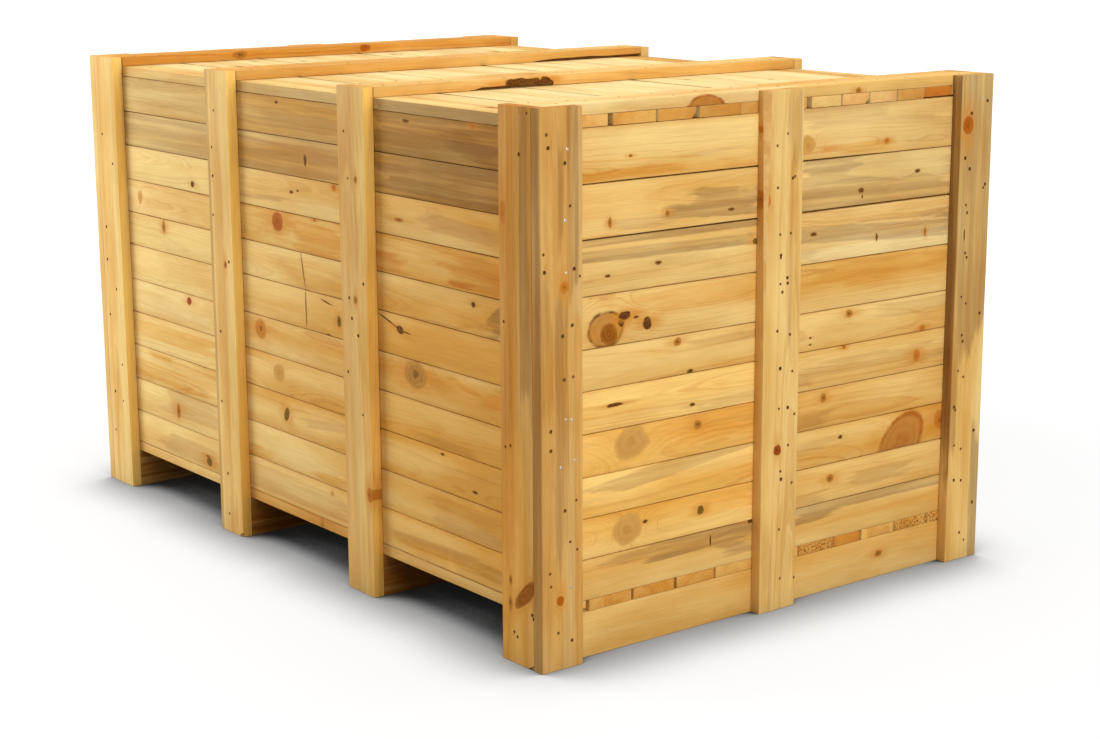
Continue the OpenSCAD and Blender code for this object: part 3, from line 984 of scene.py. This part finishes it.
look("left_board_9", gold=0.5, lines=0.4,
     knots=[(-54, 322, 16, "green", 0.6, 0.5), (551, 355, 3, "spot", 2.0), (661, 300, 3, "spot", 3.0)],
     smoke=[(0, 200, 305, 325, 10, 0.7, 0.1)],
     flame=[(-820, -400, 290, 330, 15, 0.8), (-690, -560, 345, 358, 8, 0.8)])
look("left_board_10", gold=0.35, lines=0.35, knots=[(-567, 233, 18, "brown", 0.5)],
     smoke=[(-600, -360, 220, 285, 15, 0.7), (500, 800, 200, 265, 20, 0.7)],
     flame=[(-230, -120, 198, 225, 10, 0.8), (80, 200, 200, 220, 10, 0.8)])
# Along the bottom edge of left_board_11, where it meets the floor, a thin dark line is painted shadow.
look("left_board_11", gold=0.42, lines=0.35,
     knots=[(-428, 148, 3, "bark", 3.0), (-422, 136, 10, "green"), (129, 180, 6, "faint")],
     smoke=[(-250, 200, 125, 180, 15, 0.7), (400, 660, 132, 158, 10, 0.8, 0.03),
            (650, 800, 130, 160, 10, 0.8), (-620, -380, 120, 170, 15, 0.7)],
     damp=[(*ALL, 0, 117.2, 1, 1.0)])
for i in range(1, 12):
    LOOKS[f"left_board_{i}"]["fade"] = 0.6
print("front looks and long side boards:", len(LOOKS))


# %% The posts of the long side
def front_edge_light(node):
    """Painted light that brightens and warms the narrow face of a side post that looks at the front end.
    """
    return [(*ALL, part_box(node)[1][0] / MM - 2, FAR, 0, 1.0)]


look("left_post_1", gold=0.75, pith=(-10, -40), lines=0.35,
     knots=[(860, 148, 14, "amber", 3.2, 0.84), (794, 871, 8, "red", 2.5), (808, 118, 6, "brown", 2.5),
            (810, 164, 5, "brown", 2.0)], grey=[(500, FAR, 845, FAR, 6, 0.95)],
     smoke=[(-FAR, 500, 850, FAR, 6, 0.4), (450, FAR, -FAR, 848, 6, 0.65)],
     flame=[(200, FAR, 780, 825, 10, 0.7)])
look("left_post_2", gold=0.34, pith=(20, -50), lines=0.3,
     knots=[(318, 223, 12, "red", 1.2), (292, 881, 6, "brown"), (281, 631, 7, "brown")],
     smoke=[(*ALL, 232, 292, 10, 0.5), (*ALL, 225, 240, 4, 0.6)], ember=front_edge_light("left_post_2"))
look("left_post_3", gold=0.32, pith=(-20, -40), lines=0.3, knots=[(-263, 633, 7, "brown")],
     grey=[(*ALL, -340, -315, 4, 0.8)], ember=front_edge_light("left_post_3"),
     smoke=[(*ALL, -307, -267, 10, 0.5)])
look("left_post_4", gold=0.22, pith=(10, -60), lines=0.35, ember=front_edge_light("left_post_4"),
     pale=[(*ALL, -FAR, -865, 6, 0.9)])
print("front and long side looks:", len(LOOKS))

# %% The lid, the skids and the ends of boards
# The narrow side face of lid_board_1 is what lies beyond this Y, with a straight edge.
SIDE_FACE = (-FAR, -581.5, 0)
look("lid_board_1", gold=0.3, lines=0.25,
     grey=[(300, 950, *SIDE_FACE, 0.9), (-350, 300, *SIDE_FACE, 0.6), (-FAR, -350, *SIDE_FACE, 0.35)])
look("lid_board_13", gold=0.5, lines=0.4)
look("rear_post_left", gold=0.1, lines=0.35, knots=[(-548, 620, 10, "brown"), (-560, 290, 12, "hearted")],
     pale=0.5)
look("lid_batten_2", gold=0.42, lines=0.4,
     edge_knots=[(-225, 1056, 11, "bark", 2.6), (-150, 1060, 9, "bark", 1.4)])
look("lid_batten_3", gold=0.5, lines=0.4, flame=0.5)
look("lid_batten_4", gold=0.7, lines=0.5,
     edge_knots=[(-260, 1060, 9, "brown", 2.2), (110, 1062, 10, "orange", 1.6)], flame=0.8)
for i in range(2, 13):
    look(f"lid_board_{i}", gold=0.02 + 0.04 * (i % 4), lines=0.1, pale=1.0)
# The inner skids get dirt and painted shade, and their part away from the long sides more shade.
for i, rear in ((2, -FAR), (3, -FAR), (4, -860)):
    look(f"skid_{i}", dirty=[(*ALL, rear, FAR, 20, 1.0)], damp=[(-530, 530, rear, FAR, 20, 0.45)])
# The colours that the wood of an end is multiplied by.
END_TINTS = {
    "floor_board_7": (0.92, 0.84, 0.74), "floor_board_8": (0.86, 0.60, 0.32),
    "floor_board_9": (1.10, 1.10, 1.10), "floor_board_10": (0.98, 0.92, 0.84),
    "lid_board_1": (0.98, 0.93, 0.85), "lid_board_2": (0.98, 0.84, 0.70),
    "lid_board_3": (0.94, 0.77, 0.53), "lid_board_4": (0.83, 0.61, 0.36),
    "lid_board_5": (0.76, 0.57, 0.33), "lid_board_6": (0.82, 0.64, 0.44),
    "lid_board_7": (0.86, 0.68, 0.48), "lid_board_9": (0.98, 0.86, 0.86),
    "lid_board_10": (0.94, 0.86, 0.88), "lid_board_11": (0.82, 0.68, 0.52),
    "lid_board_12": (0.68, 0.33, 0.10),
}
SPECKLED_ENDS = ("floor_board_7", "floor_board_10", "floor_board_11")
print("all looks:", len(LOOKS))

# %% [markdown]
# ## Painting the boards
#
# Each board gets its own material from the same groups. Boards that aren't listed are drawn from
# a seeded random generator, so the hidden sides look as varied and come out the same each time.

# %% Looks for the boards that aren't listed
def any_look(chance):
    return {"pith": (chance.uniform(-50, 50), -chance.uniform(30, 90)),
            "taper": chance.choice((-1, 1)) * chance.uniform(0.006, 0.02),
            "rings": chance.uniform(3.2, 5.2), "lines": chance.uniform(0.3, 0.55),
            "gold": chance.uniform(0.25, 0.65), "fade": 0.0}


def random_marks(board, chance):
    """Knots and stains for a board that the reference doesn't show."""
    first, second = board.seen
    knots, stains = [], {}
    for _ in range(chance.choice((1, 2, 2, 3, 4))):
        point = (board.centre + board.along * chance.uniform(-0.46, 0.46) * board.length
                 + board.across * chance.uniform(-0.4, 0.4) * board.width) / MM
        size = chance.choice((5, 6, 8, 10, 14, 20))
        kind = chance.choice(("brown", "red", "dark", "faint", "hearted", "spot"))
        if board.node.startswith("lid_board"):
            size, kind = size / 2, chance.choice(("brown", "faint"))
        elif size > 8 and kind in ("dark", "spot"):
            kind = "hearted"
        knots.append((point.dot(first), point.dot(second), size, kind, chance.uniform(0.9, 1.6)))
    for kind, likely in (("grey", 0.55), ("flame", 0.4), ("smoke", 0.5)):
        if chance.random() < likely:
            start = board.centre.dot(board.along) + chance.uniform(-0.5, 0.15) * board.length
            low = board.centre.dot(board.across) + chance.uniform(-0.6, 0.1) * board.width
            start, low = start * sum(board.along) / MM, low * sum(board.across) / MM
            stains[kind] = [(start, start + chance.uniform(400, 1400), low,
                             low + chance.uniform(0.2, 0.7) * board.width / MM,
                             chance.uniform(8, 25), chance.uniform(0.6, 0.95))]
    return {"knots": knots, "stains": stains}


# %% Knots and stains on one board
# How far a knot bends the rings and how deep an edge knot is, in its own size, and the length and
# turn of a knot for which none are given.
KNOT_BEND, EDGE_KNOT_DEPTH, USUAL_SHAPE = 0.9, 2, (1.2, 0.0)


def lay_knots(board, given, place):
    """The inputs of each knot's paint, and how far all the knots push the rings aside."""
    edge_place = None
    if "edge_knots" in given:
        along, across, out = split(place)
        edge_place = put("CombineXYZ", (along, out, across))
    knots, swell = [], 0.0
    for key, where, across_way, (first, second), depth in (
            ("knots", place, board.across, board.seen, 0.0),
            ("edge_knots", edge_place, board.out, (Y, Z), -board.width / 2)):
        for sideways, up, size, kind, *shape in given.get(key, ()):
            long, turn = (*shape, *USUAL_SHAPE[len(shape):])
            spot = (first * sideways + second * up) * MM - board.centre
            words = {**KNOT_KINDS[kind], "size": size * MM}
            masks = use(knot_place, place=where, at=(spot.dot(board.along), spot.dot(across_way), depth),
                        size=size * MM, long=long, turn=turn, bend=size * KNOT_BEND * MM,
                        rough=words.pop("rough"), deep=size * EDGE_KNOT_DEPTH * MM if depth else THROUGH)
            swell = masks.pop("swell") + swell
            knots.append({**words, **masks})
    return knots, swell


def from_middle(board, way, *places):
    """Places in the world as distances from the board's middle along one of its ways."""
    return sorted(place * MM * sum(way) - board.centre.dot(way) for place in places)


def lay_stains(board, given, place, shift):
    """One mask for each kind of stain on the board."""
    masks = {}
    for kind, patches in given.get("stains", {}).items():
        if isinstance(patches, float):
            patches = [(*ALL, *ALL, 0, patches)]
        for first, last, bottom, top, ragged, amount, *rise in patches:
            start, end = from_middle(board, board.along, first, last)
            low, high = from_middle(board, board.across, bottom, top)
            mask = use(stain, place=place, shift=shift, start=start, end=end, low=low, high=high,
                       rise=sum(rise) * sum(board.along) * sum(board.across), ragged=ragged * MM,
                       amount=amount)["mask"]
            masks[kind] = maths("MAXIMUM", mask, masks.get(kind, 0.0))
    return masks


# %% One material for each board
SPECKLED = 0.85
# How strongly the seams of lid boards, of posts and battens, and of wall boards get painted shade.
LID_SEAM_SHADE, FRAME_SEAM_SHADE, WALL_SEAM_SHADE = 0.05, 0.06, 0.12


def paint_board(board, chance):
    given = {**any_look(chance), **LOOKS.get(board.name, {})}
    lid_board = board.node.startswith("lid_board")
    if board.name not in LOOKS or lid_board:
        given = {**random_marks(board, chance), **given}
    shift = tuple(chance.uniform(0, 50) for _ in range(3))
    material = bpy.data.materials.new("wood_" + board.name)
    place = put("Mapping", {"Vector": place_in(material), "Location": board.centre,
                            "Rotation": Matrix(board.ways).transposed().to_euler()}, vector_type="TEXTURE")
    knots, swell = lay_knots(board, given, place)
    wood = use(growth_rings, place=place, shift=shift, swell=swell, pith_across=given["pith"][0] * MM,
               pith_depth=given["pith"][1] * MM, taper=given["taper"], ring_width=given["rings"] * MM,
               lines=given["lines"], gold=given["gold"], fade=given["fade"])
    colour = wood["colour"]
    for kind, mask in lay_stains(board, given, place, shift).items():
        colour = mix(mask, colour, tinted(colour, (*STAIN_KINDS[kind], 1.0)))
    for knot in knots:
        colour = use(knot_paint, colour=colour, place=place, **knot)["colour"]
    done = use(surface, colour=colour, height=wood["height"], place=place, shift=shift,
               along=tuple(board.along), half_width=board.width / 2,
               grime=LID_SEAM_SHADE if lid_board else FRAME_SEAM_SHADE if board.nailed_on else WALL_SEAM_SHADE,
               end_tint=(*END_TINTS.get(board.name, WHITE[:3]), 1.0),
               end_specks=SPECKLED if board.name in SPECKLED_ENDS else 0.0)
    coat(material, Base_Color=done["colour"], Roughness=done["roughness"], Normal=done["normal"],
         Specular_IOR_Level=0.12)
    board.piece.data.materials[0] = material


chance = random.Random(7)
for board in boards:
    paint_board(board, chance)
print("board materials:", len(boards))

# %% [markdown]
# ## Floor and light
#
# The reference is a cut-out on white with a soft shadow, so the floor is plain and pale, and the
# camera sees a white world behind it. The floor glows a little for the camera alone, which turns
# it white and keeps the shadow. One large lamp at the right of the camera lights the end, one
# above lights the lid, a third on the far left lifts the far part of the long side, and the world
# fills the rest. The studio's light was so soft that the ground darkens only close to the crate.
# An ambient occlusion node gives the floor that contact shadow.

# %% Floor
CONTACT_REACH, FLOOR_GREY, LESS_FOR_CAMERA = 0.25, 0.35, 0.12
floor = add(bpy.ops.mesh.primitive_plane_add, size=60.0)
floor.name = "floor"
pale_floor = bpy.data.materials.new("pale_floor")
place = place_in(pale_floor)
by_camera = put("LightPath", (), pale_floor.node_tree, "Is Camera Ray")
open_sky = put("AmbientOcclusion", {"Distance": CONTACT_REACH}, pale_floor.node_tree, "AO")
openness = ramp(open_sky, 0.25, 0.53, 0.02, 1.0) * ramp(open_sky, 0.48, 0.97, 0.34, 1.0)
far = vectors("LENGTH", place, output="Value")
glow = ramp(far, 1.3, 3.5, 0.71, 1.0) * openness
coat(pale_floor, Base_Color=openness * (by_camera * -LESS_FOR_CAMERA + FLOOR_GREY), Roughness=0.9,
     Emission_Color=WHITE, Emission_Strength=by_camera * glow)
floor.data.materials.append(pale_floor)


# %% Lamps and world
AMBIENT = 0.50


def soft_lamp(name, place, aim, size, watts):
    deselect()
    bpy.ops.object.light_add(type="AREA", location=place)
    lamp = bpy.context.object
    lamp.name = name
    lamp.rotation_euler = (Vector(aim) - Vector(place)).to_track_quat("-Z", "Y").to_euler()
    lamp.data.shape = "DISK"
    lamp.data.size = size
    lamp.data.energy = watts


soft_lamp("key_lamp", (6.0, -0.5, 2.2), (0.5, 0.0, 0.40), 3.0, 172.0)
soft_lamp("top_lamp", (0.5, 0.5, 5.0), (0.2, 0.0, 1.0), 3.0, 102.0)
soft_lamp("far_side_lamp", (-3.2, -3.2, 1.8), (-0.8, -0.5, 0.6), 3.2, 140.0)
world = bpy.data.worlds.new("studio")
world.use_nodes = True
bpy.context.scene.world = world
seen = maths("MAXIMUM", *(put("LightPath", (), world.node_tree, "Is " + ray + " Ray")
                          for ray in ("Camera", "Glossy")))
background = world.node_tree.nodes["Background"]
background.inputs["Color"].default_value = WHITE
connect(seen * (1.0 - AMBIENT) + AMBIENT, background.inputs["Strength"])
bpy.context.scene.view_settings.view_transform = "Standard"

# %% [markdown]
# ## Hand over
#
# Each piece rides on the body of its board. A board also stands in for the node of the
# construction that it was made from.

# %% Hand over
for heads, board in nails:
    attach(heads, board.body)
for board in boards:
    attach(board.piece, board.body)
    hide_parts(board.node)
